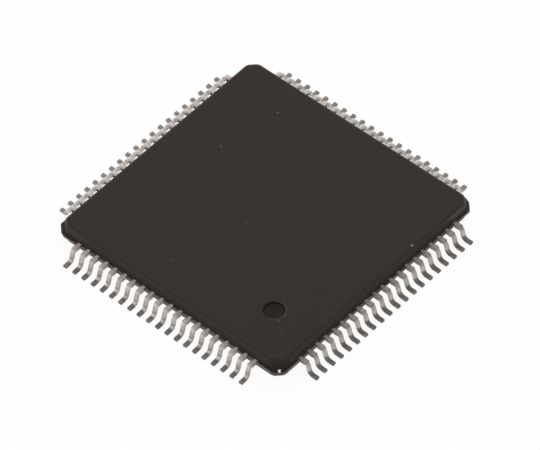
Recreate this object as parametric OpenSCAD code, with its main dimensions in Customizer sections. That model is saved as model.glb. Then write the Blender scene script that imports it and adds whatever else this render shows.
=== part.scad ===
// Quad flat pack chip: a thin moulded package with gull-wing leads on four sides.
// Origin at the middle of the seating plane that the lead soles stand on, +Z up.
// +X runs along the front side. The pin 1 corner is front left, at -X and -Y, and the
// leads are numbered counter-clockwise from it, seen from above.

/* [Package] */
// Leads on each side
lead_count = 20; // [12:4:28]
// Distance between the axes of neighbouring leads
lead_pitch = 0.5; // [0.45:0.01:0.65]
// Distance from the axis of the last lead on a side to the next side of the body
corner_margin = 1.25; // [1.15:0.05:1.6]
// Thickness of the moulded body
body_t = 0.95; // [0.9:0.05:1.4]
// Gap between the seating plane and the underside of the body
standoff = 0.1; // [0.05:0.01:0.15]
// Height of the lead frame's middle above the underside of the body
frame_height = 0.5; // [0.45:0.01:0.6]

/* [Moulding] */
// Draft angle of the walls above the parting line
upper_draft_a = 12; // [6:1:14]
// Draft angle of the walls below the parting line
lower_draft_a = 15; // [6:1:17]
// Length that each chamfered corner takes off a side
corner_cut = 0.4; // [0.3:0.05:0.6]
// Depth that rounding takes off the upright edges beside the chamfers
edge_blunt = 0.025; // [0.02:0.005:0.04]
// Radius round the top and bottom faces
edge_r = 0.1; // [0.03:0.01:0.12]
// Reach of the resin rim along the sides, past the foot of the wall
rim_reach = 0.04; // [0.02:0.01:0.08]
// Reach of the resin rim beside the chamfered corners
rim_blunt_reach = 0.08; // [0.03:0.01:0.12]
// Reach of the resin rim at the chamfered corners
rim_corner_reach = 0.15; // [0.12:0.01:0.2]

/* [Pin 1 dimple] */
// Diameter of the dimple at the top face
dimple_d = 0.94; // [0.6:0.02:1.2]
// Depth of the dimple
dimple_depth = 0.06; // [0.04:0.01:0.1]
// Width of the dimple's sloping wall
dimple_slope = 0.05; // [0.02:0.01:0.1]
// Distance from the dimple's centre to the two nearest sides of the body
dimple_inset = 2.18; // [1.6:0.02:2.6]

/* [Ejector marks] */
// Diameter of the ejector pin marks in the underside
ejector_d = 1; // [0.6:0.1:1.4]
// Depth of the ejector pin marks
ejector_depth = 0.03; // [0.02:0.01:0.05]
// Distance from the centre of a mark to the two nearest sides of the body
ejector_inset = 2; // [1.5:0.1:2.6]

/* [Leads outside the body] */
// Thickness of the lead frame
lead_t = 0.127; // [0.1:0.001:0.15]
// Width of the leg and foot
lead_w = 0.18; // [0.15:0.01:0.22]
// Width of the lead where it leaves the body
stub_w = 0.17; // [0.14:0.01:0.2]
// Length of the narrow stub outside the body
stub_l = 0.12; // [0.115:0.005:0.16]
// Width of the stump that the cut dam bar leaves
dam_w = 0.25; // [0.22:0.01:0.3]
// Length of the dam bar stump
dam_l = 0.28; // [0.15:0.01:0.32]
// Distance from the body to the start of the shoulder bend
shoulder_reach = 0.3; // [0.26:0.01:0.32]
// Distance from the body to the tip of the foot
lead_reach = 0.96; // [0.94:0.01:1.1]
// Lean of the leg away from upright
leg_lean = 15; // [6:1:20]
// Radius of the shoulder bend, at the middle of the strip
shoulder_r = 0.15; // [0.1:0.01:0.18]
// Radius of the heel bend, at the middle of the strip
heel_r = 0.22; // [0.14:0.01:0.28]

/* [Lead frame inside the body] */
// Width of the square paddle under the die
paddle_w = 6.2; // [5.6:0.1:6.8]
// Depth of the paddle below the leads
downset = 0.2; // [0.16:0.01:0.24]
// Gap between the paddle and the finger tips
finger_gap = 0.3; // [0.2:0.01:0.5]
// Width of a finger at its tip, along the side
tip_w = 0.16; // [0.12:0.01:0.18]
// Distance from the middle of the last finger tip on a side to the diagonal
tip_corner_gap = 0.5; // [0.45:0.01:0.7]
// Length of the straight stretch of each finger, just inside the wall
straight_l = 0.65; // [0.5:0.05:0.8]
// Width of the tie bars that hold the paddle at its corners
tie_w = 0.14; // [0.12:0.01:0.3]
// Resin in front of the cut end of a tie bar
tie_cover = 0.05; // [0.04:0.01:0.06]
// Distance from the paddle's corner to the slope of the tie bar
tie_lead_in = 0.15; // [0.1:0.05:0.3]

/* [Die] */
// Width of the square die
die_w = 4.6; // [3.6:0.1:5.2]
// Thickness of the die
die_t = 0.28; // [0.22:0.01:0.3]
// Thickness of the adhesive under the die
attach_t = 0.03; // [0.02:0.005:0.04]
// Width of the adhesive that squeezes out round the die
attach_fillet = 0.12; // [0.05:0.01:0.2]
// Distance from the die's edge to the middle of its bond pads
pad_inset = 0.1; // [0.08:0.01:0.16]
// Distance from the middle of the last pad on a side to the next side of the die
pad_corner_gap = 0.25; // [0.22:0.01:0.5]

/* [Bond wires] */
// Thickness of a bond wire
wire_t = 0.03; // [0.02:0.005:0.035]
// Height of the wire loop above the die
loop_h = 0.13; // [0.1:0.01:0.15]
// Diameter of the ball on the pad
ball_d = 0.075; // [0.06:0.005:0.09]
// Thickness of the ball
ball_t = 0.02; // [0.015:0.005:0.03]
// Length of the flat stitch that ends the wire on the finger
stitch_l = 0.08; // [0.05:0.01:0.1]
// Distance from the finger's tip to the end of the stitch
stitch_inset = 0.2; // [0.14:0.01:0.3]

/* [Hidden] */
// Straight facets in each bend of a lead, and in each rounded edge of the body
bend_steps = 6;
edge_steps = 4;
// Facets round the ball of a bond wire, and round the dimple and the ejector marks
ball_facets = 8;
round_facets = 64;
// Past the faces that a cutting solid goes through
cut_past = 1;

body_w = (lead_count - 1) * lead_pitch + 2 * corner_margin;
half_w = body_w / 2;
body_top = standoff + body_t;
lead_z = standoff + frame_height;
frame_top = lead_z + lead_t / 2;
frame_bottom = lead_z - lead_t / 2;
// Half the distance across the chamfered corners
half_diagonal = (2 * half_w - corner_cut) / sqrt(2);
// Half the distance across the rounded edges between the sides and the chamfers
half_blunt = half_w * cos(22.5) + (half_w - corner_cut) * sin(22.5) - edge_blunt;

half_paddle = paddle_w / 2;
paddle_top = frame_top - downset;
attach_top = paddle_top + attach_t;
die_top = attach_top + die_t;

tip_r = half_paddle + finger_gap;
knee_r = half_w - straight_l;
stub_end = half_w + stub_l;
dam_end = stub_end + dam_l;
toe_r = half_w + lead_reach;
tip_pitch = 2 * (tip_r - tip_corner_gap) / (lead_count - 1);
pad_r = die_w / 2 - pad_inset;
pad_pitch = 2 * (die_w / 2 - pad_corner_gap) / (lead_count - 1);
stitch_r = tip_r + stitch_inset;

SIDES = ["front", "right", "back", "left"];
GROUPS = [1, 2, 3, 4];
function lead_node(s, g) = str("leads_", SIDES[s], "_", GROUPS[g]);
function wire_node(s, g) = str("bond_wires_", SIDES[s], "_", GROUPS[g]);
// The leads of one side that belong to one group, counted from 0
function group_leads(g) = [for (i = [0:lead_count - 1]) if (floor(i * len(GROUPS) / lead_count) == g) i];

// Place of lead i along its side, at the pitch of the leads, tips or pads
function along(i, pitch) = (i - (lead_count - 1) / 2) * pitch;
// The same points on the other side of the Y axis, in reverse order
function mirrored(points) = [for (i = [len(points) - 1:-1:0]) [-points[i][0], points[i][1]]];
// Points of an arc about a centre, from one angle to another
function arc(centre, r, from, to, steps) =
    [
        for (k = [0:steps])
            let (a = from + (to - from) * k / steps)
            centre + r * [cos(a), sin(a)]
    ];

// ---- Moulded body ----

// The wall's rounded edge: the arc touches the flat face and the drafted wall, and goes from
// the wall up to the face. The wall starts at [reach, 0] and the face is rise above it.
function wall_edge(reach, rise, draft_a) =
    let (centre_x = reach - (edge_r + sin(draft_a) * (rise - edge_r)) / cos(draft_a))
    arc([centre_x, rise - edge_r], edge_r, draft_a, 90, edge_steps);

// Outline across the body for walls that stand at reach from the middle, with the resin rim
function body_outline(reach, rim) =
    let (
        upper_edge = wall_edge(reach, body_top - frame_top, upper_draft_a),
        lower_edge = wall_edge(reach, frame_bottom - standoff, lower_draft_a),
        upper = [for (p = upper_edge) [p[0], frame_top + p[1]]],
        lower = [for (p = lower_edge) [p[0], frame_bottom - p[1]]],
        half = concat(
            [for (i = [len(lower) - 1:-1:0]) lower[i]],
            [[reach, frame_bottom], [reach + rim, frame_bottom]],
            [[reach + rim, frame_top], [reach, frame_top]],
            upper
        )
    )
    concat(half, mirrored(half));

module across(turn, reach, rim) {
    rotate([90, 0, turn])
        linear_extrude(height = 2 * (body_w + cut_past), center = true)
            polygon(body_outline(reach, rim));
}

// The pairs of walls: two pairs of sides, two pairs of chamfered corners, and the four pairs of
// rounded edges between them
module body_blank() {
    intersection() {
        across(0, half_w, rim_reach);
        across(90, half_w, rim_reach);
        across(45, half_diagonal, rim_corner_reach);
        across(135, half_diagonal, rim_corner_reach);
        across(22.5, half_blunt, rim_blunt_reach);
        across(67.5, half_blunt, rim_blunt_reach);
        across(112.5, half_blunt, rim_blunt_reach);
        across(157.5, half_blunt, rim_blunt_reach);
    }
}

module pin1_dimple() {
    floor_r = dimple_d / 2 - dimple_slope;
    translate([dimple_inset - half_w, dimple_inset - half_w, body_top])
        rotate_extrude($fn = round_facets)
            polygon([
                [0, -dimple_depth],
                [floor_r, -dimple_depth],
                [dimple_d / 2, 0],
                [dimple_d / 2, cut_past],
                [0, cut_past]
            ]);
}

module ejector_marks() {
    for (x = [-1, 1], y = [-1, 1])
        translate([x * (half_w - ejector_inset), y * (half_w - ejector_inset), standoff - cut_past])
            cylinder(d = ejector_d, h = cut_past + ejector_depth, $fn = round_facets);
}

module moulded_body() {
    color("#3b3634")
        difference() {
            body_blank();
            pin1_dimple();
            ejector_marks();
            paddle_solid();
            attach_solid();
            die_solid();
            for (s = [0:len(SIDES) - 1])
                on_side(s)
                    for (i = [0:lead_count - 1]) {
                        finger_strip(i);
                        bond_wire(i);
                    }
        }
}

// ---- Leads ----

// Turns a piece of the front side onto side s
module on_side(s) {
    rotate([0, 0, 90 * s]) children();
}

// Outline of the flat finger of lead i from above, from its tip to the end of the stub outside,
// with X along the side and Y outwards
function finger_outline(i) =
    let (tip = along(i, tip_pitch), axis = along(i, lead_pitch))
    [
        [tip - tip_w / 2, tip_r],
        [axis - stub_w / 2, knee_r],
        [axis - stub_w / 2, stub_end],
        [axis + stub_w / 2, stub_end],
        [axis + stub_w / 2, knee_r],
        [tip + tip_w / 2, tip_r]
    ];

// Outline of the dam bar stump, leg and foot from above
function outer_outline(i) =
    let (axis = along(i, lead_pitch))
    [
        [axis - dam_w / 2, stub_end],
        [axis - dam_w / 2, dam_end],
        [axis - lead_w / 2, dam_end],
        [axis - lead_w / 2, toe_r],
        [axis + lead_w / 2, toe_r],
        [axis + lead_w / 2, dam_end],
        [axis + dam_w / 2, dam_end],
        [axis + dam_w / 2, stub_end]
    ];

// Side view of the gull wing, with X outwards and Y up. The strip runs flat from the body,
// bends down at the shoulder and out again at the heel, and its sole lies at height 0.
function gull_wing() =
    let (
        turn = 90 - leg_lean,
        shoulder_c = [half_w + shoulder_reach, lead_z - shoulder_r],
        bends_drop = (shoulder_r + heel_r) * (1 - cos(turn)),
        leg_l = (lead_z - lead_t / 2 - bends_drop) / sin(turn),
        heel_c = [
            shoulder_c[0] + (shoulder_r + heel_r) * sin(turn) + leg_l * cos(turn),
            lead_t / 2 + heel_r
        ],
        outer = concat(
            arc(shoulder_c, shoulder_r + lead_t / 2, 90, 90 - turn, bend_steps),
            arc(heel_c, heel_r - lead_t / 2, 270 - turn, 270, bend_steps)
        ),
        inner = concat(
            arc(heel_c, heel_r + lead_t / 2, 270, 270 - turn, bend_steps),
            arc(shoulder_c, shoulder_r - lead_t / 2, 90 - turn, 90, bend_steps)
        )
    )
    concat([[half_w, frame_top]], outer, [[toe_r, lead_t], [toe_r, 0]], inner, [[half_w, frame_bottom]]);

// A flat strip of the lead frame's thickness, with its outline turned onto the front side
module strip(outline) {
    translate([0, 0, frame_bottom])
        linear_extrude(height = lead_t)
            mirror([0, 1]) polygon(outline);
}

module finger_strip(i) {
    strip(finger_outline(i));
}

module gull_wing_lead(i) {
    union() {
        finger_strip(i);
        intersection() {
            rotate([90, 0, -90])
                linear_extrude(height = 2 * body_w, center = true)
                    polygon(gull_wing());
            translate([0, 0, -cut_past])
                linear_extrude(height = lead_z + lead_t + cut_past)
                    mirror([0, 1]) polygon(outer_outline(i));
        }
    }
}

module lead_group(s, g) {
    color("#a8a29c")
        on_side(s)
            for (i = group_leads(g))
                gull_wing_lead(i);
}

// ---- Paddle, die and adhesive ----

// Side view along a diagonal: the tie bars run level with the leads at the corners and slope
// down to the paddle. They are cut inside the resin rim.
function tie_outline() =
    let (
        inner = half_paddle * sqrt(2) + tie_lead_in,
        outer = inner + downset,
        end = half_diagonal + rim_corner_reach - tie_cover,
        half = [
            [inner, paddle_top],
            [outer, frame_top],
            [end, frame_top],
            [end, frame_bottom],
            [outer, frame_bottom],
            [inner, paddle_top - lead_t]
        ]
    )
    concat(mirrored(half), half);

module tie_bar_pair(turn) {
    rotate([90, 0, turn])
        linear_extrude(height = tie_w, center = true)
            polygon(tie_outline());
}

module paddle_solid() {
    union() {
        translate([-half_paddle, -half_paddle, paddle_top - lead_t])
            cube([paddle_w, paddle_w, lead_t]);
        tie_bar_pair(45);
        tie_bar_pair(135);
    }
}

module die_paddle() {
    color("#b5b2ac") paddle_solid();
}

module square_plate(w, from, to) {
    translate([-w / 2, -w / 2, from]) cube([w, w, to - from]);
}

module attach_solid() {
    square_plate(die_w + 2 * attach_fillet, paddle_top, attach_top);
}

module die_attach() {
    color("#c9c9c4") attach_solid();
}

module die_solid() {
    square_plate(die_w, attach_top, die_top);
}

module silicon_die() {
    color("#6a7285") die_solid();
}

// ---- Bond wires ----

// Outline of a wire of even thickness along a line of points, with square ends
function unit(v) = v / norm(v);
function left_of(v) = [-v[1], v[0]];
function joint_normal(path, i) =
    let (
        before = unit(path[max(i, 1)] - path[max(i, 1) - 1]),
        after = unit(path[min(i + 1, len(path) - 1)] - path[min(i, len(path) - 2)]),
        middle = unit(left_of(before + after))
    )
    middle / (middle * left_of(before));
function stroke(path, t) = concat(
    [for (i = [0:len(path) - 1]) path[i] + joint_normal(path, i) * t / 2],
    [for (i = [len(path) - 1:-1:0]) path[i] - joint_normal(path, i) * t / 2]
);

// Path of a wire that spans a level distance, with X along the span: up from the ball, over
// the edge of the die and down to the flat stitch on the finger
function loop_path(span) =
    let (
        crown = die_top + loop_h,
        stitch_z = frame_top + wire_t / 2
    )
    [
        [0, die_top + ball_t / 2],
        [0, crown - wire_t],
        [wire_t, crown],
        [span * 0.3, crown],
        [span - stitch_l, stitch_z],
        [span, stitch_z]
    ];

module bond_wire(i) {
    axis = along(i, lead_pitch);
    tip = along(i, tip_pitch);
    stitch_x = tip + (axis - tip) * stitch_inset / (knee_r - tip_r);
    pad = [along(i, pad_pitch), -pad_r];
    reach = [stitch_x, -stitch_r] - pad;
    translate([pad[0], pad[1], 0]) {
        translate([0, 0, die_top])
            cylinder(d = ball_d, h = ball_t, $fn = ball_facets);
        rotate([90, 0, atan2(reach[1], reach[0])])
            linear_extrude(height = wire_t, center = true)
                polygon(stroke(loop_path(norm(reach)), wire_t));
    }
}

module wire_group(s, g) {
    color("#d9b24a")
        on_side(s)
            for (i = group_leads(g))
                bond_wire(i);
}

moulded_body();
die_paddle();
die_attach();
silicon_die();
for (s = [0:len(SIDES) - 1], g = [0:len(GROUPS) - 1]) {
    lead_group(s, g);
    wire_group(s, g);
}
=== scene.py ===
"""Looks of a quad flat pack chip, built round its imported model.

The moulded body, the flash at its parting line, the torn end of one tie bar and the eighty
gull-wing leads are modelled here. The paddle, die, adhesive and bond wires stay as packed and get
their finishes. Meshes are shaped in millimetres and brought to metres when a piece is finished.
"""

import math
import random

import bmesh
import bpy
from bpy.props import FloatProperty, FloatVectorProperty, IntProperty, PointerProperty
from mathutils import Matrix, Vector


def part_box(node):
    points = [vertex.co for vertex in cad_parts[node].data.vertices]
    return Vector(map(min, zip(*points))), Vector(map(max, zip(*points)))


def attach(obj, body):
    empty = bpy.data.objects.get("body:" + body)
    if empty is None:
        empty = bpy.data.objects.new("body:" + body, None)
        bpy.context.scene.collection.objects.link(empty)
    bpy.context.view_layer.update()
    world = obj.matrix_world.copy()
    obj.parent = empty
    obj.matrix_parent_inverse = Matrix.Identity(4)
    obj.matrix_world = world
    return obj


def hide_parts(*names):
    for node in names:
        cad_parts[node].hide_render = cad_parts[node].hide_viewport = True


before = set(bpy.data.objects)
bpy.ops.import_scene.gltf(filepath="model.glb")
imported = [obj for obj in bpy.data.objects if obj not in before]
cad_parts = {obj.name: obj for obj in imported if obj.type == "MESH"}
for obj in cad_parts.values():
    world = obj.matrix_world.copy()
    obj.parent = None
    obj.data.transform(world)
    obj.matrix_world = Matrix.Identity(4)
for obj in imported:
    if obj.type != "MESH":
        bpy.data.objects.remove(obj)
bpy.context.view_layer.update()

bl_info = {
    "name": "Quad flat pack chip",
    "version": (1, 0, 0),
    "blender": (4, 5, 0),
    "location": "3D View > Sidebar > Chip",
    "description": "Builds the looks of a quad flat pack chip round its packed model",
    "category": "Object",
}

SIDES = ("front", "right", "back", "left")
GROUPS = (1, 2, 3, 4)
MM = 1000.0
FRAME_THICKNESS = 0.000127
BODY_LOW, BODY_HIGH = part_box("moulded_body")
LEAD_LOW, LEAD_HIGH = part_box("leads_front_1")

# Heights in millimetres of the body's top face and of the middle of the lead frame's thickness.
TOP_FACE = BODY_HIGH.z * MM
FRAME_LEVEL = (LEAD_HIGH.z - FRAME_THICKNESS / 2) * MM


# ---- Settings ----


def length(name, default, description):
    """A length that a user may change, given in metres."""
    return FloatProperty(
        name=name,
        description=description,
        default=default,
        min=0,
        precision=6,
        subtype="DISTANCE",
        unit="LENGTH",
    )


def angle(name, degrees, description):
    """An angle that a user may change, given in degrees."""
    return FloatProperty(
        name=name, description=description, default=math.radians(degrees), subtype="ANGLE", unit="ROTATION"
    )


def colour(name, default, description):
    """A colour that a user may change."""
    return FloatVectorProperty(
        name=name, description=description, default=default, min=0, max=1, size=3, subtype="COLOR"
    )


class ChipBodySizes(bpy.types.PropertyGroup):
    """Sizes of the moulded body"""

    half_width: length("Half width", 0.006, "From the middle to a side, at the parting line")
    top: length("Top", BODY_HIGH.z, "Height of the top face above the seating plane")
    underside: length("Underside", BODY_LOW.z, "Height of the underside above the seating plane")
    corner_cut: length("Corner cut", 0.0004, "Length that each chamfered corner takes off a side")
    corner_round: length("Corner rounding", 0.00012, "Reach of the rounding of the chamfers' upright edges")
    edge_round: length("Edge rounding", 0.00012, "Reach of the rounding of the top and bottom edges")
    upper_draft: angle("Upper draft", 12, "Lean of the walls above the parting line")
    lower_draft: angle("Lower draft", 15, "Lean of the walls below the parting line")
    dimple: length("Dimple", 0.00094, "Diameter of the pin 1 dimple")
    dimple_depth: length("Dimple depth", 0.00006, "Depth of the pin 1 dimple")
    dimple_inset: length("Dimple inset", 0.00221, "From the dimple's centre to the two nearest sides")
    ejector: length("Ejector mark", 0.001, "Diameter of the ejector pin marks in the underside")
    ejector_depth: length("Ejector mark depth", 0.00003, "Depth of the ejector pin marks")
    ejector_inset: length("Ejector mark inset", 0.002, "From a mark's centre to the two nearest sides")
    rim_reach: length("Rim reach", 0.00003, "Reach of the resin rim along the sides")
    lump_reach: length("Lump reach", 0.000075, "Reach of the resin lumps between the leads")


class ChipLeadSizes(bpy.types.PropertyGroup):
    """Sizes of the gull-wing leads"""

    count: IntProperty(name="Leads per side", description="Leads on each side", default=20, min=4)
    pitch: length("Pitch", 0.0005, "Distance between the axes of neighbouring leads")
    thickness: length("Thickness", FRAME_THICKNESS, "Thickness of the lead frame")
    width: length("Width", 0.00018, "Width of the leg and foot")
    stub_width: length("Stub width", 0.00017, "Width where the lead leaves the body")
    stub_end: length("Stub end", 0.00612, "From the middle of the chip to the end of the narrow stub")
    dam_width: length("Stump width", 0.00025, "Width of the stump that the cut dam bar leaves")
    shoulder: length("Shoulder start", 0.0063, "From the middle of the chip to where the shoulder bends")
    shoulder_radius: length("Shoulder radius", 0.00015, "Radius of the shoulder bend, at the strip's middle")
    heel_radius: length("Heel radius", 0.00022, "Radius of the heel bend, at the strip's middle")
    lean: angle("Leg lean", 15, "Lean of the leg away from upright")
    toe: length("Toe", -LEAD_LOW.y, "From the middle of the chip to the tip of the foot")
    tip: length("Finger tip", -LEAD_HIGH.y, "From the middle of the chip to the finger tips inside the body")
    tip_width: length("Finger tip width", 0.00016, "Width of a finger at its tip")
    tip_corner: length("Finger tip corner gap", 0.0005, "From the last finger tip to the diagonal")
    knee: length("Finger knee", 0.00535, "From the middle of the chip to where the fingers run straight")
    edge: length("Edge rounding", 0.000014, "Reach of the rounding of the strip's edges")


class ChipFinishes(bpy.types.PropertyGroup):
    """Colours of the finishes"""

    epoxy: colour("Moulding compound", (0.0212, 0.0152, 0.0118), "Dark grey filled epoxy")
    # Painted sheen: the upper walls are given a lighter colour than the top.
    walls: colour("Upper walls", (0.0324, 0.0250, 0.0208), "Epoxy of the upper walls, lighter than the top")
    # Painted reflection of the floor: the walls below the parting line are given a lighter colour.
    lower_wall_reflection: colour("Lower walls", (0.075, 0.060, 0.050), "Scuffed epoxy below the parting line")
    dimple: colour("Dimple floor", (0.0066, 0.0010, 0.0), "Smooth dark floor of the pin 1 dimple")
    flash: colour("Resin flash", (0.040, 0.030, 0.023), "Thin resin at the parting line")
    # Painted reflection of the floor on the outer face of the flash.
    flash_face_reflection: colour("Flash edge", (0.15, 0.133, 0.118), "Worn outer face of the flash")
    tin: colour("Tin plating", (0.36, 0.322, 0.30), "Matt tin plating of the leads")
    # Painted reflection of the floor on the legs.
    leg_reflection_tin: colour("Burnished tin", (0.49, 0.448, 0.42), "Tin on the legs, rubbed by the forming tool")
    # A darker colour for the feet.
    foot: colour("Worn foot plating", (0.19, 0.168, 0.155), "Darker plating on the feet")
    # Painted shade on the cut faces of the stumps in the back and right rows.
    cut: colour("Cut faces", (0.035, 0.028, 0.024), "Sheared faces of the dam bar stumps")
    alloy: colour("Lead frame alloy", (0.62, 0.60, 0.56), "Bare nickel-iron alloy")
    torn: colour("Torn alloy", (0.95, 0.93, 0.90), "Freshly torn end of a tie bar")
    adhesive: colour("Die adhesive", (0.60, 0.60, 0.57), "Silver filled epoxy")
    silicon: colour("Silicon", (0.12, 0.14, 0.18), "Polished silicon")
    gold: colour("Gold", (0.83, 0.62, 0.20), "Bright gold wire")
    ground: colour("Ground", (0.95, 0.95, 0.95), "Floor that the chip stands on")


# ---- Shader sums ----


class Shade:
    """A shader socket that joins in sums: each operator adds its Math node."""

    def __init__(self, tree, socket=None):
        self.tree = tree
        self.socket = socket

    def node(self, kind, settings, links, out=0):
        """Adds any node: its settings first, then the values or links of its sockets."""
        made = self.tree.nodes.new("ShaderNode" + kind)
        for name, value in settings.items():
            setattr(made, name, value)
        for key, value in links.items():
            if isinstance(value, Shade):
                self.tree.links.new(value.socket, made.inputs[key])
            else:
                made.inputs[key].default_value = value
        return Shade(self.tree, made.outputs[out])

    def math(self, operation, *values):
        return self.node("Math", {"operation": operation}, dict(enumerate(values)))

    def __add__(self, other):
        return self.math("ADD", self, other)

    def __sub__(self, other):
        return self.math("SUBTRACT", self, other)

    def __mul__(self, other):
        return self.math("MULTIPLY", self, other)

    def __truediv__(self, other):
        return self.math("DIVIDE", self, other)

    def __radd__(self, other):
        return self.math("ADD", other, self)

    def __rsub__(self, other):
        return self.math("SUBTRACT", other, self)

    def __rmul__(self, other):
        return self.math("MULTIPLY", other, self)

    def __rtruediv__(self, other):
        return self.math("DIVIDE", other, self)

    def unsigned(self):
        return self.math("ABSOLUTE", self)

    def larger(self, other):
        return self.math("MAXIMUM", self, other)

    def clamp(self):
        return self.node("Clamp", {}, {0: self})

    def step(self, low, high):
        """0 below low and 1 above high, with a smooth run between; low may be the larger."""
        run = {1: high, 2: low, 3: 1.0, 4: 0.0} if low > high else {1: low, 2: high, 3: 0.0, 4: 1.0}
        return self.node("MapRange", {"interpolation_type": "SMOOTHSTEP"}, {0: self, **run})

    def mix(self, first, second):
        """Mixes two colours by this mask."""
        pair = [value if isinstance(value, Shade) else (*value, 1) for value in (first, second)]
        return self.node("Mix", {"data_type": "RGBA"}, {0: self, 6: pair[0], 7: pair[1]}, 2)

    def scaled(self, vector, factor):
        """A colour or a vector times a factor."""
        return self.node("VectorMath", {"operation": "SCALE"}, {0: vector, "Scale": factor})

    def tint(self, factor):
        """This colour made lighter or darker by a factor."""
        return self.scaled(self, factor)


def clear_nodes(owner):
    """Empties the node tree of a material or a world, and starts a sum in it."""
    owner.use_nodes = True
    owner.node_tree.nodes.clear()
    return Shade(owner.node_tree)


def put_out(shader, kind="Material"):
    """Links a shader to the output of its tree."""
    output = shader.tree.nodes.new("ShaderNodeOutput" + kind)
    shader.tree.links.new(shader.socket, output.inputs["Surface"])


class Finish:
    """A material under construction, with its own coordinates in millimetres."""

    def __init__(self, name):
        self.material = bpy.data.materials.new(name)
        self.start = clear_nodes(self.material)
        self.place = self.start.scaled(self.start.node("TexCoord", {}, {}, "Object"), MM)
        split = self.start.node("SeparateXYZ", {}, {0: self.place})
        self.x, self.y, self.z = (Shade(split.tree, out) for out in split.socket.node.outputs)

    def stretched(self, scale):
        """The coordinates stretched along the axes."""
        return self.start.node("Mapping", {}, {0: self.place, "Scale": scale})

    def noise(self, scale, detail=2.0, roughness=0.5, place=None):
        links = {"Vector": place or self.place, "Scale": scale, "Detail": detail, "Roughness": roughness}
        return self.start.node("TexNoise", {}, links)

    def cells(self, scale, randomness=1.0):
        """The distance to the nearest of scattered points."""
        links = {"Vector": self.place, "Scale": scale, "Randomness": randomness}
        return self.start.node("TexVoronoi", {}, links)

    def cell_tones(self, scale, randomness=1.0):
        """A tone of its own for each cell round the scattered points."""
        cells = self.cells(scale, randomness)
        colour = Shade(cells.tree, cells.socket.node.outputs["Color"])
        return self.start.node("RGBToBW", {}, {0: colour})

    def plain(self, colour, factor):
        """A plain colour made lighter or darker by a factor."""
        return self.start.scaled(tuple(colour), factor)

    def spot(self, centre, radius, soft):
        """1 within radius of a point, in millimetres, and 0 past radius + soft."""
        away = self.start.node("VectorMath", {"operation": "DISTANCE"}, {0: self.place, 1: centre}, "Value")
        return away.step(radius + soft, radius)

    def done(self, colour, roughness, metallic=0.0, bump=None, relief=0.0, **plain):
        """Finishes the material. Relief is in millimetres; plain holds values that are the same all over."""
        links = {"Base Color": colour, "Roughness": roughness, "Metallic": metallic}
        if bump:
            links["Normal"] = self.start.node("Bump", {}, {"Distance": relief / MM, "Height": bump})
        links.update({name.replace("_", " "): value for name, value in plain.items()})
        put_out(self.start.node("BsdfPrincipled", {}, links))
        return self.material


# ---- Finishes ----

# Pale flecks on the top face: centre, radius and strength.
TOP_FLECKS = (
    ((2.44, -5.75, 1.05), 0.035, 0.6),
    ((4.36, 3.15, 1.05), 0.03, 0.2),
    ((1.44, 3.68, 1.05), 0.03, 0.15),
    ((-0.98, 0.14, 1.05), 0.025, 0.1),
    ((-4.43, 1.09, 1.05), 0.025, 0.08),
    ((-4.12, -4.31, 1.05), 0.025, 0.18),
    ((-4.38, -4.66, 1.05), 0.03, 0.05),
    ((-4.44, -4.76, 1.05), 0.03, 0.05),
    ((-4.5, -4.86, 1.05), 0.03, 0.06),
)
DIMPLE_CENTRE = (-3.79, -3.79, 1.0)
DIMPLE_LIP = (-3.77, -3.83, 1.05)
FILLER_GRAIN = (0.12, 0.11, 0.10)
PALE_FLECK = (0.42, 0.40, 0.37)
# A painted highlight in a streak on the front wall.
WALL_HIGHLIGHT = (0.10, 0.092, 0.085)
# A painted highlight on one side of the dimple's lip.
LIP_HIGHLIGHT = (0.06, 0.055, 0.05)
TORN_SHADE = (0.55, 0.53, 0.50)
STAINED_ALLOY = (0.50, 0.46, 0.41)
CIRCUIT_BLOCK = (0.20, 0.24, 0.24)


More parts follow.
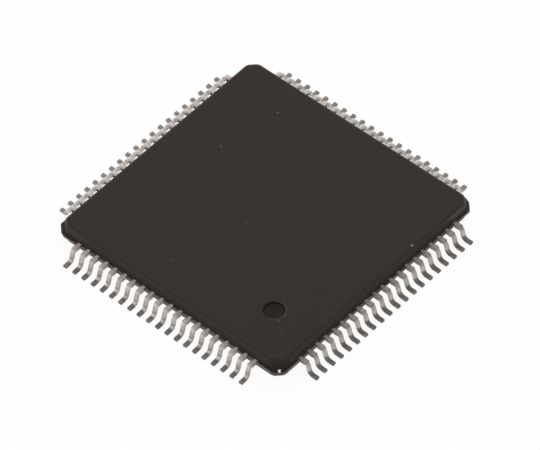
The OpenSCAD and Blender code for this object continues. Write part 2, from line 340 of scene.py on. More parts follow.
def epoxy_finish(colours):
    """Dark filled epoxy: fine matt grain, cloudy tone and a few pale filler grains, with painted light on
    the walls and the dimple's lip.
    """
    f = Finish("filled_epoxy")
    cloud = f.noise(0.45, 3, 0.55)
    grain = f.noise(22, 3, 0.7)
    pits = f.cells(9).step(0.0, 0.25)
    base = f.plain(colours.epoxy, 0.86 + cloud * 0.2 + grain * 0.12)
    specks = f.cells(3.1).step(0.055, 0.02) * f.noise(1.7, 0).step(0.62, 0.7)
    base = (specks * 0.35).mix(base, FILLER_GRAIN)
    for centre, radius, strength in TOP_FLECKS:
        base = (f.spot(centre, radius, 0.03) * strength).mix(base, PALE_FLECK)

    # Painted light on the walls: a lighter wall colour as painted sheen, a painted highlight along the top
    # edge, painted reflections of the floor towards the side corners, painted shade at the pin 1 corner and
    # a painted highlight streak near the right end of the front wall.
    walls = f.z.step(TOP_FACE - 0.002, TOP_FACE - 0.02)
    base = walls.mix(base, colours.walls)
    corner_reflection = f.x.larger(f.y).step(3.6, 5.6) * f.z.step(0.78, 0.92)
    base = base.tint(1.0 + walls * (corner_reflection * 0.35 + f.z.step(0.84, 0.98) * 0.16))
    pin_corner = (f.x + f.y).step(-11.1, -11.35)
    base = base.tint(1.0 - pin_corner * walls * 0.3)
    highlight_streak = f.x.step(4.2, 4.7) * f.x.step(5.6, 5.2) * f.z.step(0.84, 0.92) * f.z.step(1.02, 0.96)
    base = (highlight_streak * f.y.step(-5.8, -5.85) * 0.4).mix(base, WALL_HIGHLIGHT)
    # Below the parting line the walls are painted lighter, a painted reflection of the floor.
    base = (f.z.step(0.6, 0.5) * 0.8).mix(base, colours.lower_wall_reflection)

    # A painted highlight on one side of the dimple's rounded lip.
    lip = f.spot(DIMPLE_LIP, 0.475, 0.02) * f.z.step(TOP_FACE - 0.02, TOP_FACE - 0.01)
    base = (lip * 0.55).mix(base, LIP_HIGHLIGHT)
    base = f.spot(DIMPLE_CENTRE, 0.452, 0.02).mix(base, colours.dimple)
    rough = 0.36 + cloud * 0.08 + grain * 0.1
    return f.done(base, rough, bump=grain * 0.7 + pits * 0.3, relief=0.004, Specular_IOR_Level=0.09)


def flash_finish(colours):
    """Thin resin at the parting line: rough and uneven, with a paler outer face that is a painted reflection
    of the floor, a dark top that also holds painted shade at the foot of the wall, and dark at the tip of
    the pin 1 corner.
    """
    f = Finish("resin_flash")
    patch = f.noise(2.6, 3, 0.6)
    grain = f.noise(26, 2, 0.6)
    # The top: flash in patches on epoxy, kept dark as painted shade at the foot of the wall.
    upper = patch.step(0.35, 0.68).mix(colours.epoxy, colours.flash)
    # Below this height the outer face gets a painted reflection of the floor.
    base = f.z.step(0.628, 0.65).mix(colours.flash_face_reflection, upper)
    tip = (f.x + f.y).step(-11.62, -11.7)
    base = base.tint((1.0 - tip * 0.55) * (0.8 + grain * 0.4))
    return f.done(base, 0.5 + grain * 0.2, bump=grain, relief=0.008, Specular_IOR_Level=0.16)


def tin_finish(colours, name, grain_scale, pitch, across):
    """Matt tin plating: drag marks along the strip, darker feet, and painted reflections, highlights and
    shade that differ from row to row.

    Across is true for the front and back rows, whose leads stand side by side along X.
    """
    f = Finish(name)
    drag = f.noise(1.0, 3, 0.6, f.stretched(grain_scale))
    mottle = f.noise(7, 3, 0.6)
    patch = f.noise(2.3, 1, 0.5)
    fine = f.noise(30, 2, 0.6)

    # Where a point lies: out from the middle of the chip, off its lead's axis, and in the back or right row.
    reach = f.x.unsigned().larger(f.y.unsigned())
    turns = (f.x if across else f.y) / pitch
    off_axis = (f.start.math("FRACT", turns) - 0.5).unsigned() * pitch
    far = f.x.larger(f.y).step(5.9, 6.0)

    # The legs are painted brighter, a painted reflection of the pale floor. The back and right rows get
    # painted highlights below the shoulder's brow and on the legs' inner faces, and painted shade on top of
    # the stumps.
    height = f.z + (mottle - 0.5) * 0.1 - far * 0.03
    rubbed = height.step(0.65, 0.59) * height.step(0.135, 0.18)
    base = rubbed.mix(colours.tin, colours.leg_reflection_tin)
    inner_leg = reach.step(6.50, 6.46) * f.z.step(0.5, 0.42)
    brow = f.z.step(0.65, 0.632) * f.z.step(0.55, 0.6)
    stump_top = f.z.step(0.648, 0.662)
    base = base.tint(1.0 + far * (inner_leg * 0.6 + brow * 0.35 - stump_top * 0.2))

    # Darker feet with painted highlights on their flanks, and painted shade on the cut faces of the stumps
    # in the back and right rows.
    foot = (reach + mottle * 0.08 - (0.05 if across else 0.0) * far).step(6.70, 6.76)
    base = foot.mix(base, colours.foot)
    flank = off_axis.step(0.07, 0.088)
    base = base.tint(1.0 + flank * foot * (far * 0.8 + (0.4 if across else 0.0)))
    cut = off_axis.step(0.108, 0.116) * reach.step(6.31, 6.19)
    base = (cut * far).mix(base, colours.cut)

    # Where the front and left rows leave the body the tin is less metallic and painted lighter. The front
    # row gets painted shade on its heels and high parts; the left row gets painted shade in a band on its
    # legs and on top of its stumps.
    tone = drag * 0.4 + mottle * 0.9 + patch * 0.5 + fine * 0.2
    root = reach.step(6.25, 6.08) * (1.0 - far)
    if across:
        front = f.y.step(-6.0, -6.01)
        # Painted shade on the front row's heels.
        heel = front * f.z.step(0.31, 0.2) * (1.0 - foot * 0.8)
        tone = tone * (1.0 - heel * 0.68) * (1.0 + front * (root * 0.25 - f.z.step(0.45, 0.66) * 0.38))
    else:
        left = f.x.step(-6.0, -6.01)
        leg_band_shade = f.z.step(0.38, 0.33) * f.z.step(0.19, 0.24)
        tone = tone * (1.0 + left * (root * 0.5 - leg_band_shade * 0.25 - f.z.step(0.655, 0.662) * 0.14))
    rough = 0.36 + mottle * 0.16 + fine * 0.12 + foot * 0.12 + root * 0.15
    return f.done(base.tint(tone), rough, 1.0 - root * 0.7, drag * 0.5 + fine * 0.5, 0.005)


def burr_finish(colours):
    """Freshly torn metal, bright and uneven."""
    f = Finish("torn_alloy")
    tear = f.noise(16, 2, 0.6)
    base = tear.step(0.3, 0.7).mix(TORN_SHADE, colours.torn)
    return f.done(base, 0.3 + tear * 0.2, 1.0, tear, 0.004)


def alloy_finish(colours):
    """Rolled nickel-iron strip: bright, with fine rolling lines."""
    f = Finish("nickel_iron_strip")
    lines = f.noise(1.0, 3, 0.6, f.stretched((1.5, 24, 24)))
    stain = f.noise(1.1, 2, 0.5)
    base = stain.step(0.4, 0.75).mix(colours.alloy, STAINED_ALLOY).tint(0.88 + lines * 0.24)
    return f.done(base, 0.28 + lines * 0.16, 1.0, lines, 0.003)


def adhesive_finish(colours):
    """Silver filled epoxy: flaky and satin."""
    f = Finish("silver_filled_epoxy")
    flakes = f.cell_tones(16)
    base = f.plain(colours.adhesive, 0.75 + flakes * 0.4)
    return f.done(base, 0.38 + flakes * 0.3, 0.6, flakes, 0.006)


def silicon_finish(colours):
    """Polished silicon with a fine generic grid of circuit blocks on its top."""
    f = Finish("polished_silicon")
    blocks = f.cell_tones(1.6, randomness=0.55)
    rows = f.noise(1.0, 1, 0.5, f.stretched((40, 3, 1)))
    base = blocks.mix(colours.silicon, CIRCUIT_BLOCK).tint(0.85 + rows * 0.3)
    return f.done(base, 0.12 + rows * 0.14, 0.7, rows, 0.0015)


def gold_finish(colours):
    """Drawn gold wire."""
    f = Finish("drawn_gold")
    draw = f.noise(30, 2, 0.5)
    return f.done(f.plain(colours.gold, 0.92 + draw * 0.16), 0.2 + draw * 0.12, 1.0, draw, 0.001)


# ---- Mesh helpers ----


def corners(made):
    """The vertices among what an operator made."""
    return [part for part in made if isinstance(part, bmesh.types.BMVert)]


def only_face(made):
    """The one face among what an operator made."""
    return next(part for part in made if isinstance(part, bmesh.types.BMFace))


def finish_piece(bm, name, material, replaced=(), weighted=False):
    """Brings a mesh from millimetres to metres and makes it a piece that rides on the chip."""
    bmesh.ops.scale(bm, vec=(1 / MM,) * 3, verts=bm.verts)
    for face in bm.faces:
        face.smooth = True
    mesh = bpy.data.meshes.new(name)
    bm.to_mesh(mesh)
    bm.free()
    mesh.materials.append(material)
    piece = bpy.data.objects.new(name, mesh)
    bpy.context.scene.collection.objects.link(piece)
    if weighted:
        normals = piece.modifiers.new("Even shading", "WEIGHTED_NORMAL")
        normals.keep_sharp = True
    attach(piece, "root")
    if replaced:
        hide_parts(*replaced)


def round_edges(bm, edges, reach, segments, clamp=False):
    """Rounds edges. The rounding reaches this far from each of them."""
    bmesh.ops.bevel(
        bm,
        geom=list(edges),
        offset=reach,
        affect="EDGES",
        segments=segments,
        profile=0.5,
        material=-1,
        clamp_overlap=clamp,
    )


def tapered_block(bm, size, towards, taper):
    """A block of this size, scaled by taper at the end that towards points to. Returns its vertices."""
    block = bmesh.ops.create_cube(bm, size=1)["verts"]
    bmesh.ops.scale(bm, vec=size, verts=block)
    bmesh.ops.scale(bm, vec=taper, verts=[vert for vert in block if vert.co.dot(towards) > 0])
    return block


def mark_sharp(bm, limit, flat_area=None):
    """Marks the edges to shade as creases: those sharper than limit, and the borders of large flat faces."""
    for edge in bm.edges:
        edge.smooth = edge.calc_face_angle(0.0) < limit
        if flat_area:
            large = [face.calc_area() > flat_area for face in edge.link_faces]
            edge.smooth = edge.smooth and not any(large)


def block_between_planes(bm, planes, reach):
    """A convex block: a cube cut back to each plane, given as a point and a normal."""
    bmesh.ops.create_cube(bm, size=2 * reach)
    for point, normal in planes:
        everything = bm.verts[:] + bm.edges[:] + bm.faces[:]
        cut = bmesh.ops.bisect_plane(
            bm, geom=everything, dist=1e-6, plane_co=point, plane_no=normal, clear_outer=True
        )
        rim = [part for part in cut["geom_cut"] if isinstance(part, bmesh.types.BMEdge)]
        if rim:
            bmesh.ops.contextual_create(bm, geom=rim)
    bmesh.ops.recalc_face_normals(bm, faces=bm.faces)


def sink_circle(bm, face, centre, rings):
    """Sinks a round recess into a flat face. Each ring is a radius and a depth; the last one is filled."""
    facing = face.normal.z
    height = face.verts[0].co.z
    rim = list(face.edges)
    bmesh.ops.delete(bm, geom=[face], context="FACES_ONLY")
    place = Matrix.Translation((*centre, height))
    circle = bmesh.ops.create_circle(bm, segments=64, radius=rings[0][0], matrix=place)["verts"]
    loop = list({edge for vert in circle for edge in vert.link_edges})
    bmesh.ops.triangle_fill(bm, edges=rim + loop, use_beauty=True, normal=(0, 0, facing))
    radius, sunk = rings[0]
    for next_radius, depth in rings[1:]:
        made = bmesh.ops.extrude_edge_only(bm, edges=loop)["geom"]
        points = corners(made)
        loop = [e for e in made if isinstance(e, bmesh.types.BMEdge) and all(v in points for v in e.verts)]
        ratio = next_radius / radius
        bmesh.ops.scale(
            bm, vec=(ratio, ratio, 1), space=Matrix.Translation((-centre[0], -centre[1], 0)), verts=points
        )
        bmesh.ops.translate(bm, vec=(0, 0, -facing * (depth - sunk)), verts=points)
        radius, sunk = next_radius, depth
    bmesh.ops.contextual_create(bm, geom=loop)


def plate_of_outline(bm, outline, low, high, reach):
    """A flat plate between two heights, cut back to upright planes: each has a direction and a reach."""
    planes = [((0, 0, high), (0, 0, 1)), ((0, 0, low), (0, 0, -1))]
    for degrees, away in outline:
        outward = Vector((math.cos(math.radians(degrees)), math.sin(math.radians(degrees)), 0))
        planes.append((outward * away, outward))
    block_between_planes(bm, planes, reach)


def join(bm, other):
    """Adds another mesh to this one, and frees it."""
    spare = bpy.data.meshes.new("spare")
    other.to_mesh(spare)
    other.free()
    bm.from_mesh(spare)
    bpy.data.meshes.remove(spare)


def corner_reach(size):
    """From the middle of the chip to a chamfered corner."""
    return (2 * size.half_width - size.corner_cut) * MM / math.sqrt(2)


def main_face(bm, facing):
    """The largest face that looks up (1) or down (-1)."""
    return max((f for f in bm.faces if f.normal.z * facing > 0.99), key=lambda f: f.calc_area())


# ---- Operators ----


class CHIP_OT_moulded_body(bpy.types.Operator):
    """Moulds the body: two drafted halves with chamfered corners, the pin 1 dimple and the ejector marks"""

    bl_idname = "chip.moulded_body"
    bl_label = "Moulded body"

    def execute(self, context):
        size = context.scene.chip_body
        half = size.half_width * MM
        half_diagonal = corner_reach(size)
        top, underside = size.top * MM, size.underside * MM
        thick = context.scene.chip_leads.thickness * MM
        planes = [((0, 0, top), (0, 0, 1)), ((0, 0, underside), (0, 0, -1))]
        for turn in range(8):
            way = math.radians(45 * turn)
            reach = half_diagonal if turn % 2 else half
            for draft, up in ((size.upper_draft, 1), (size.lower_draft, -1)):
                foot = (reach * math.cos(way), reach * math.sin(way), FRAME_LEVEL + up * thick / 2)
                lean = math.cos(draft)
                planes.append((foot, (lean * math.cos(way), lean * math.sin(way), up * math.sin(draft))))
        bm = bmesh.new()
        block_between_planes(bm, planes, 2 * half)
        upright = [e for e in bm.edges if abs(e.verts[0].co.z - e.verts[1].co.z) > 0.1]
        round_edges(bm, upright, size.corner_round * MM, 5)
        rims = {e for facing in (1, -1) for e in main_face(bm, facing).edges}
        round_edges(bm, rims, size.edge_round * MM, 6)
        self.sink_dimple(bm, size)
        self.sink_marks(bm, size)
        bmesh.ops.recalc_face_normals(bm, faces=bm.faces)
        mark_sharp(bm, math.radians(24), 0.02)
        material = epoxy_finish(context.scene.chip_finishes)
        finish_piece(bm, "moulded_body_shell", material, ["moulded_body"], weighted=True)
        return {"FINISHED"}

    @staticmethod
    def sink_dimple(bm, size):
        """Sinks the pin 1 dimple, with a rounded lip, a sloping wall and a rounded foot."""
        radius, depth = size.dimple * MM / 2, size.dimple_depth * MM
        lip = ((radius + 0.01, 0), (radius - 0.004, 0.005), (radius - 0.02, 0.02))
        floor = ((radius - 0.05, depth - 0.012), (radius - 0.075, depth), (radius - 0.12, depth))
        place = (size.dimple_inset - size.half_width) * MM
        sink_circle(bm, main_face(bm, 1), (place, place), lip + floor)

    @staticmethod
    def sink_marks(bm, size):
        """Splits the underside into quarters and sinks an ejector mark into each."""
        radius, depth = size.ejector * MM / 2, size.ejector_depth * MM
        lip = ((radius + 0.006, 0), (radius - 0.002, 0.006))
        rings = lip + ((radius - 0.01, depth), (radius - 0.04, depth))
        place = (size.half_width - size.ejector_inset) * MM
        near = [main_face(bm, -1)]
        for normal in ((1, 0, 0), (0, 1, 0)):
            pool = near + list({e for f in near for e in f.edges}) + list({v for f in near for v in f.verts})
            bmesh.ops.bisect_plane(bm, geom=pool, dist=1e-6, plane_co=(0, 0, 0), plane_no=normal)
            near = [f for f in bm.faces if f.normal.z < -0.99 and f.calc_area() > 1]
        for quarter in near:
            middle = quarter.calc_center_median()
            centre = (math.copysign(place, middle.x), math.copysign(place, middle.y))
            sink_circle(bm, quarter, centre, rings)


# Reach of the resin ledge at each corner, counter-clockwise from the front left one, in millimetres: on the
# diagonal, on the two blunting planes beside it, and on the two sides.
CORNER_LEDGES = (
    (8.33, (7.76, 7.76), (6.07, 6.07)),
    (8.305, (7.77, 7.73), (6.07, 6.08)),
    (8.33, (7.75, 7.77), (6.06, 6.06)),
    (8.335, (7.79, 7.757), (6.08, 6.09)),
)

# In millimetres: how deep the ledges run into the body, how far the rim's edge wavers, and the sizes of the
# resin cap over a tie bar and of the burr.
LEDGE_DEPTH = 0.42
WAVER = 0.005
CAP_SIZE = (0.19, 0.22, 0.05)
BURR_SIZE = (0.16, 0.12, 0.09)
UPWARDS = Vector((0, 0, 1))
FORWARDS = Vector((0, -1, 0))


class CHIP_OT_parting_flash(bpy.types.Operator):
    """Lays the resin rim and its lumps round the parting line, and raises the burr on the torn tie bar"""

    bl_idname = "chip.parting_flash"
    bl_label = "Parting line flash"

    def execute(self, context):
        body, leads = context.scene.chip_body, context.scene.chip_leads
        thick = leads.thickness * MM
        rng = random.Random(11)
        colours = context.scene.chip_finishes
        material = flash_finish(colours)
        rim = self.make_rim(body, thick, rng)
        finish_piece(rim, "parting_rim", material, weighted=True)
        lumps = self.make_lumps(body, leads, thick, rng)
        finish_piece(lumps, "resin_lumps", material)
        burr = self.make_burr(body, thick)
        finish_piece(burr, "tie_bar_burr", burr_finish(colours))
        return {"FINISHED"}

    @staticmethod
    def make_burr(body, thick):
        """The torn sliver that stands up at the cut end of the front left tie bar."""
        bm = bmesh.new()
        tapered_block(bm, BURR_SIZE, UPWARDS, (0.6, 0.75, 1))
        round_edges(bm, bm.edges, 0.016, 3)
        lean = Matrix.Rotation(math.radians(205), 4, "Z") @ Matrix.Rotation(math.radians(20), 4, "Y")
        bmesh.ops.rotate(bm, cent=(0, 0, 0), matrix=lean, verts=bm.verts)
        away = -(corner_reach(body) + 0.07) / math.sqrt(2)
        shift = (away + 0.015, away - 0.015, FRAME_LEVEL + thick / 2 + 0.012)
        bmesh.ops.translate(bm, vec=shift, verts=bm.verts)
        return bm

    @staticmethod
    def make_rim(body, thick, rng):
        """A thin plate whose edge stands out of the body's walls, and a broader ledge at each corner."""
        half = body.half_width * MM
        corner = corner_reach(body)
        top, underside = FRAME_LEVEL + thick / 2, FRAME_LEVEL - thick / 2
        bm = bmesh.new()
        outline = [(90 * turn, half + body.rim_reach * MM) for turn in range(4)]
        outline += [(90 * turn + 45, corner + body.rim_reach * MM) for turn in range(4)]
        plate_of_outline(bm, outline, underside + 0.01, top - 0.01, 2 * half)
        for turn, (reach, blunt, side) in enumerate(CORNER_LEDGES):
            way = 225 + 90 * turn
            outline = [(way, reach), (way + 180, LEDGE_DEPTH - corner)]
            outline += [(way - 22.5, blunt[0]), (way + 22.5, blunt[1])]
            outline += [(way - 45, side[0]), (way + 45, side[1])]
            ledge = bmesh.new()
            plate_of_outline(ledge, outline, underside - 0.016, top - 0.004, 2 * half)
            join(bm, ledge)
        long_edges = [e for e in bm.edges if e.calc_length() > 1]
        bmesh.ops.subdivide_edges(bm, edges=long_edges, cuts=60)
        for vert in bm.verts:
            if vert.co.z > FRAME_LEVEL:
                vert.co.xy *= 1 + rng.uniform(-WAVER, WAVER) / vert.co.xy.length
        rims = [e for e in bm.edges if abs(e.verts[0].co.z - e.verts[1].co.z) < 0.01]
        round_edges(bm, rims, 0.014, 2)
        mark_sharp(bm, math.radians(60), 0.02)
        return bm

    @staticmethod
    def make_lumps(body, leads, thick, rng):
        """Uneven lumps of resin between the leads, and a cap over each tie bar but the torn one."""
        bm = bmesh.new()
        half, pitch = body.half_width * MM, leads.pitch * MM
        gap = pitch - leads.stub_width * MM
        corner = corner_reach(body)
        for side in range(4):
            turn = Matrix.Rotation(math.radians(90 * side), 4, "Z")
            for k in range(leads.count - 1):
                out = body.lump_reach * MM * rng.uniform(0.7, 1.2)
                size = (gap, 2 * out, thick * rng.uniform(0.8, 0.98))
                taper = (rng.uniform(0.72, 0.92), 1, rng.uniform(0.5, 0.8))
                lump = tapered_block(bm, size, FORWARDS, taper)
                middle = (k + 1 - leads.count / 2) * pitch
                shift = (middle, -half, FRAME_LEVEL + rng.uniform(-0.004, 0.006))
                bmesh.ops.translate(bm, vec=shift, verts=lump)
                bmesh.ops.rotate(bm, cent=(0, 0, 0), matrix=turn, verts=lump)
            if side == 0:
                continue
            cap = tapered_block(bm, CAP_SIZE, UPWARDS, (0.75, 0.7, 1))
            over = FRAME_LEVEL + thick / 2 - 0.012
            bmesh.ops.translate(bm, vec=(corner + 0.02, rng.uniform(-0.01, 0.01), over), verts=cap)
            way = Matrix.Rotation(math.radians(90 * side - 135), 4, "Z")
            bmesh.ops.rotate(bm, cent=(0, 0, 0), matrix=way, verts=cap)
        round_edges(bm, [e for e in bm.edges if e.calc_face_angle(0.0) > 0.4], 0.011, 2, clamp=True)
        return bm


# How far the stub takes to widen to the stump, in millimetres; how much of the shoulder bend the stump takes
# and how much more it takes to narrow to the leg; and the largest swing of a lead, in radians.
STUMP_STEP = 0.02
STUMP_BEND = math.radians(30)
STUMP_NARROWING = math.radians(9)
LARGEST_SWING = 0.006


class CHIP_OT_leads(bpy.types.Operator):
    """Forms the leads: each one strip from its finger tip inside the body to its foot"""

    bl_idname = "chip.leads"
    bl_label = "Gull-wing leads"

    def execute(self, context):
        size = context.scene.chip_leads
        colours = context.scene.chip_finishes
        rng = random.Random(5)
        pitch = size.pitch * MM
        across = tin_finish(colours, "tin_plating_front_back", (30, 2.5, 12), pitch, True)
        along = tin_finish(colours, "tin_plating_left_right", (2.5, 30, 12), pitch, False)
        for side, side_name in enumerate(SIDES):
            turn = Matrix.Rotation(math.radians(90 * side), 4, "Z")
            for group in GROUPS:
                bm = bmesh.new()
                share = size.count // len(GROUPS)
                for lead in range((group - 1) * share, group * share):
                    self.form_lead(bm, size, lead, rng)
                bmesh.ops.rotate(bm, cent=(0, 0, 0), matrix=turn, verts=bm.verts)
                sharp = [e for e in bm.edges if e.calc_face_angle(0.0) > 0.6 and e.is_convex]
                round_edges(bm, sharp, size.edge * MM, 2, clamp=True)
                mark_sharp(bm, math.radians(50))
                finish_piece(
                    bm,
                    f"gull_wings_{side_name}_{group}",
                    along if side % 2 else across,
                    [f"leads_{side_name}_{group}"],
                    weighted=True,
                )
        return {"FINISHED"}

    def form_lead(self, bm, size, lead, rng):
        """One lead of the front side, grown from its finger tip outwards and bent at shoulder and heel."""
        before = set(bm.verts)
        place = lead - (size.count - 1) / 2
        axis = place * size.pitch * MM
        tip_reach = size.tip * MM
        tip = place * 2 * (tip_reach - size.tip_corner * MM) / (size.count - 1)
        thick, knee, stub_end = size.thickness * MM, size.knee * MM, size.stub_end * MM
        shoulder, toe = size.shoulder * MM, size.toe * MM
        shoulder_radius, heel_radius = size.shoulder_radius * MM, size.heel_radius * MM
        width, stub = size.tip_width * MM, size.stub_width * MM
        dam, leg = size.dam_width * MM, size.width * MM

        upright = Matrix.Translation((tip, -tip_reach, FRAME_LEVEL)) @ Matrix.Rotation(math.pi / 2, 4, "X")
        made = bmesh.ops.create_grid(bm, x_segments=1, y_segments=1, size=0.5, matrix=upright)
        cap = made["verts"][0].link_faces[0]
        centre = Matrix.Translation((-tip, tip_reach, -FRAME_LEVEL))
        bmesh.ops.scale(bm, vec=(width, 1, thick), space=centre, verts=made["verts"])
        for shift, new_width in (
            ((axis - tip, -(knee - tip_reach), 0), stub),
            ((0, -(stub_end - knee), 0), stub),
            ((0, -STUMP_STEP, 0), dam),
            ((0, -(shoulder - stub_end - STUMP_STEP), 0), dam),
        ):
            cap = self.grow(bm, cap, shift, new_width / width, axis)
            width = new_width

        # The stump narrows to the leg within the shoulder bend.
        bend = math.pi / 2 - size.lean
        pivot = (0, -shoulder, FRAME_LEVEL - shoulder_radius)
        cap = self.curl(bm, cap, pivot, STUMP_BEND, 3)
        cap = self.curl(bm, cap, pivot, STUMP_NARROWING, 1)
        bmesh.ops.scale(
            bm, vec=(leg / dam, 1, 1), space=Matrix.Translation((-axis, 0, 0)), verts=list(cap.verts)
        )
        cap = self.curl(bm, cap, pivot, bend - STUMP_BEND - STUMP_NARROWING, 4)

        drop = (shoulder_radius + heel_radius) * (1 - math.cos(bend))
        leg_run = (FRAME_LEVEL - thick / 2 - drop) / math.sin(bend)
        down = Vector((0, -math.cos(bend), -math.sin(bend)))
        cap = self.grow(bm, cap, down * leg_run, 1, axis)
        heel_out = shoulder + (shoulder_radius + heel_radius) * math.sin(bend) + leg_run * math.cos(bend)
        cap = self.curl(bm, cap, (0, -heel_out, thick / 2 + heel_radius), -bend, 7)
        self.grow(bm, cap, (0, -(toe - heel_out), 0), 1, axis)

        # No two leads stand quite alike.
        outside = [v for v in bm.verts if v not in before and v.co.y < -(stub_end - 0.01)]
        swing = Matrix.Rotation(rng.uniform(-LARGEST_SWING, LARGEST_SWING), 4, "Z")
        bmesh.ops.rotate(bm, cent=(axis, -stub_end, 0), matrix=swing, verts=outside)

    @staticmethod
    def grow(bm, cap, shift, widen, axis):
        """Lengthens the strip by moving its end on, and widens it about the lead's axis."""
        made = bmesh.ops.extrude_face_region(bm, geom=[cap])["geom"]
        ends = corners(made)
        bmesh.ops.translate(bm, vec=shift, verts=ends)
        bmesh.ops.scale(bm, vec=(widen, 1, 1), space=Matrix.Translation((-axis, 0, 0)), verts=ends)
        return only_face(made)

    @staticmethod
    def curl(bm, cap, pivot, turn, steps):
        """Bends the strip on about a level axis."""
        made = bmesh.ops.spin(
            bm,
            geom=[cap, *cap.edges, *cap.verts],
            cent=pivot,
            axis=(1, 0, 0),
            dvec=(0, 0, 0),
            angle=turn,
            steps=steps,
            use_merge=False,
            use_duplicate=False,
        )
        return only_face(made["geom_last"])


class CHIP_OT_inner_parts(bpy.types.Operator):
    """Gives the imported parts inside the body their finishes"""

    bl_idname = "chip.inner_parts"
    bl_label = "Parts inside the body"

    def execute(self, context):
        colours = context.scene.chip_finishes
        gold = gold_finish(colours)
        finishes = {
            "die_paddle": (alloy_finish(colours), "lead_frame"),
            "die_attach": (adhesive_finish(colours), "die_adhesive"),
            "silicon_die": (silicon_finish(colours), "silicon"),
        }
        for side in SIDES:
            for group in GROUPS:
                finishes[f"bond_wires_{side}_{group}"] = (gold, "gold_wire")
        for name, (material, slot) in finishes.items():
            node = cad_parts[name]
            if node.material_slots:
                for place in node.material_slots:
                    place.material = material
            else:
                node.data.materials.append(material)
        return {"FINISHED"}


VIEW_AZIMUTH = math.radians(-47.854)
VIEW_ELEVATION = math.radians(48.575)
VIEW_ROLL = math.radians(-1.146)
VIEW_DISTANCE = 0.3555
VIEW_TARGET = Vector((0, 0, 0.0006))
VIEW_SLIDE = (0.000176, -0.000296)
LENS = 582.84

# Name, place and power in watts of each softbox.
SOFTBOXES = (
    ("right_back_softbox", (0.337, 0.337, 0.275), 0.9),
    ("left_back_softbox", (-0.337, 0.337, 0.275), 0.3),
)
SOFTBOX_WIDTH = 0.3
WORLD_LIGHT = 0.8
FLOOR_RADIUS = 0.6
WHITE = (1, 1, 1, 1)

# How much of its own white glow the floor shows to the camera, and how much it glows onto the chip's matt
# surfaces, lighting them from below though it is no lamp.
FLOOR_SEEN = 0.93
FLOOR_SCATTERED = 0.4


def ray_kinds(start, *names):
    """Each is 1 where that kind of ray arrives."""
    path = start.node("LightPath", {}, {})
    return [Shade(start.tree, path.socket.node.outputs[name]) for name in names]


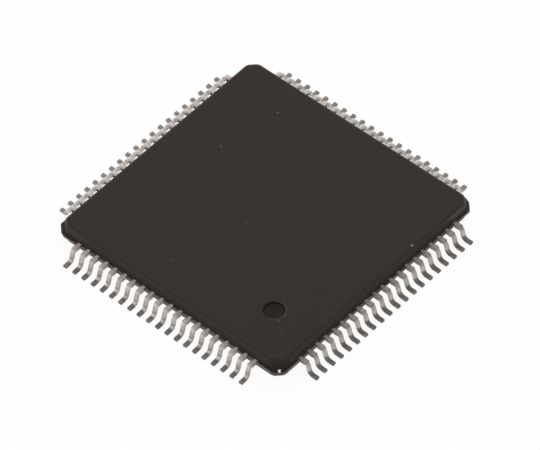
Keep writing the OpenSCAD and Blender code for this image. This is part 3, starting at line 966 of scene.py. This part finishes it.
class CHIP_OT_stage(bpy.types.Operator):
    """Sets the stage: pale floor, soft lights and the camera"""

    bl_idname = "chip.stage"
    bl_label = "Stage, lights and camera"

    def execute(self, context):
        self.place_camera(context)
        self.lay_floor(context)
        self.set_world(context)
        for name, place, power in SOFTBOXES:
            self.hang_lamp(context, name, place, power)
        context.scene.view_settings.view_transform = "Standard"
        return {"FINISHED"}

    def place_camera(self, context):
        """A long lens from far off, above the pin 1 corner."""
        across, along = math.cos(VIEW_ELEVATION), math.sin(VIEW_ELEVATION)
        back = Vector((math.sin(VIEW_AZIMUTH) * across, -math.cos(VIEW_AZIMUTH) * across, along))
        level = Vector((math.cos(VIEW_AZIMUTH), math.sin(VIEW_AZIMUTH), 0))
        up = back.cross(level)
        right = level * math.cos(VIEW_ROLL) + up * math.sin(VIEW_ROLL)
        top = up * math.cos(VIEW_ROLL) - level * math.sin(VIEW_ROLL)
        place = VIEW_TARGET + back * VIEW_DISTANCE + right * VIEW_SLIDE[0] + top * VIEW_SLIDE[1]
        data = bpy.data.cameras.new("camera")
        data.lens = LENS
        data.sensor_width = 36
        data.clip_start, data.clip_end = 0.001, 10
        camera = bpy.data.objects.new("camera", data)
        context.scene.collection.objects.link(camera)
        turn = Matrix((right, top, back)).transposed().to_4x4()
        camera.matrix_world = Matrix.Translation(place) @ turn
        context.scene.camera = camera

    def lay_floor(self, context):
        """A white floor that keeps the chip's shadow, glows onto the chip from below, and is clear from
        below.
        """
        bm = bmesh.new()
        bmesh.ops.create_circle(bm, cap_ends=True, segments=96, radius=FLOOR_RADIUS)
        mesh = bpy.data.meshes.new("floor")
        bm.to_mesh(mesh)
        bm.free()
        floor = bpy.data.objects.new("floor", mesh)
        context.scene.collection.objects.link(floor)
        material = bpy.data.materials.new("pale_floor")
        start = clear_nodes(material)
        camera, glossy, through, scattered = ray_kinds(
            start, "Is Camera Ray", "Is Glossy Ray", "Is Transmission Ray", "Is Diffuse Ray"
        )
        share = camera * FLOOR_SEEN + glossy + through + scattered * FLOOR_SCATTERED
        ground = start.node("BsdfDiffuse", {}, {0: (*context.scene.chip_finishes.ground, 1)})
        glow = start.node("Emission", {}, {0: WHITE, 1: 1.0})
        lit = start.node("MixShader", {}, {0: share, 1: ground, 2: glow})
        clear = start.node("BsdfTransparent", {}, {})
        below = start.node("NewGeometry", {}, {}, "Backfacing")
        put_out(start.node("MixShader", {}, {0: below, 1: lit, 2: clear}))
        mesh.materials.append(material)

    def set_world(self, context):
        """Soft even light, and white where the chip mirrors the world or the camera sees it."""
        world = bpy.data.worlds.new("studio")
        context.scene.world = world
        start = clear_nodes(world)
        camera, glossy, through = ray_kinds(start, "Is Camera Ray", "Is Glossy Ray", "Is Transmission Ray")
        soft = start.node("Background", {}, {0: WHITE, 1: WORLD_LIGHT})
        white = start.node("Background", {}, {0: WHITE, 1: 1.0})
        seen = (camera + glossy + through).clamp()
        put_out(start.node("MixShader", {}, {0: seen, 1: soft, 2: white}), "World")

    @staticmethod
    def hang_lamp(context, name, place, power):
        """A square softbox that faces the chip."""
        data = bpy.data.lights.new(name, "AREA")
        data.shape = "SQUARE"
        data.size = SOFTBOX_WIDTH
        data.energy = power
        lamp = bpy.data.objects.new(name, data)
        context.scene.collection.objects.link(lamp)
        lamp.location = place
        lamp.rotation_mode = "QUATERNION"
        lamp.rotation_quaternion = Vector(place).to_track_quat("Z", "Y")


class CHIP_PT_panel(bpy.types.Panel):
    """Lists the chip's pieces and their sizes"""

    bl_idname = "CHIP_PT_panel"
    bl_label = "Quad flat pack chip"
    bl_space_type = "VIEW_3D"
    bl_region_type = "UI"
    bl_category = "Chip"

    def draw(self, context):
        for operator in OPERATORS:
            self.layout.operator(operator.bl_idname)
        for group in (context.scene.chip_body, context.scene.chip_leads, context.scene.chip_finishes):
            box = self.layout.box()
            for name in type(group).__annotations__:
                box.prop(group, name)


GROUPS_OF_SETTINGS = (
    ("chip_body", ChipBodySizes),
    ("chip_leads", ChipLeadSizes),
    ("chip_finishes", ChipFinishes),
)
OPERATORS = (
    CHIP_OT_moulded_body,
    CHIP_OT_parting_flash,
    CHIP_OT_leads,
    CHIP_OT_inner_parts,
    CHIP_OT_stage,
)


def register():
    for name, group in GROUPS_OF_SETTINGS:
        bpy.utils.register_class(group)
        setattr(bpy.types.Scene, name, PointerProperty(type=group))
    for operator in OPERATORS:
        bpy.utils.register_class(operator)
    bpy.utils.register_class(CHIP_PT_panel)


def unregister():
    bpy.utils.unregister_class(CHIP_PT_panel)
    for operator in reversed(OPERATORS):
        bpy.utils.unregister_class(operator)
    for name, group in reversed(GROUPS_OF_SETTINGS):
        delattr(bpy.types.Scene, name)
        bpy.utils.unregister_class(group)


def main():
    register()
    bpy.ops.chip.moulded_body()
    bpy.ops.chip.parting_flash()
    bpy.ops.chip.leads()
    bpy.ops.chip.inner_parts()
    bpy.ops.chip.stage()


if __name__ == "__main__":
    main()
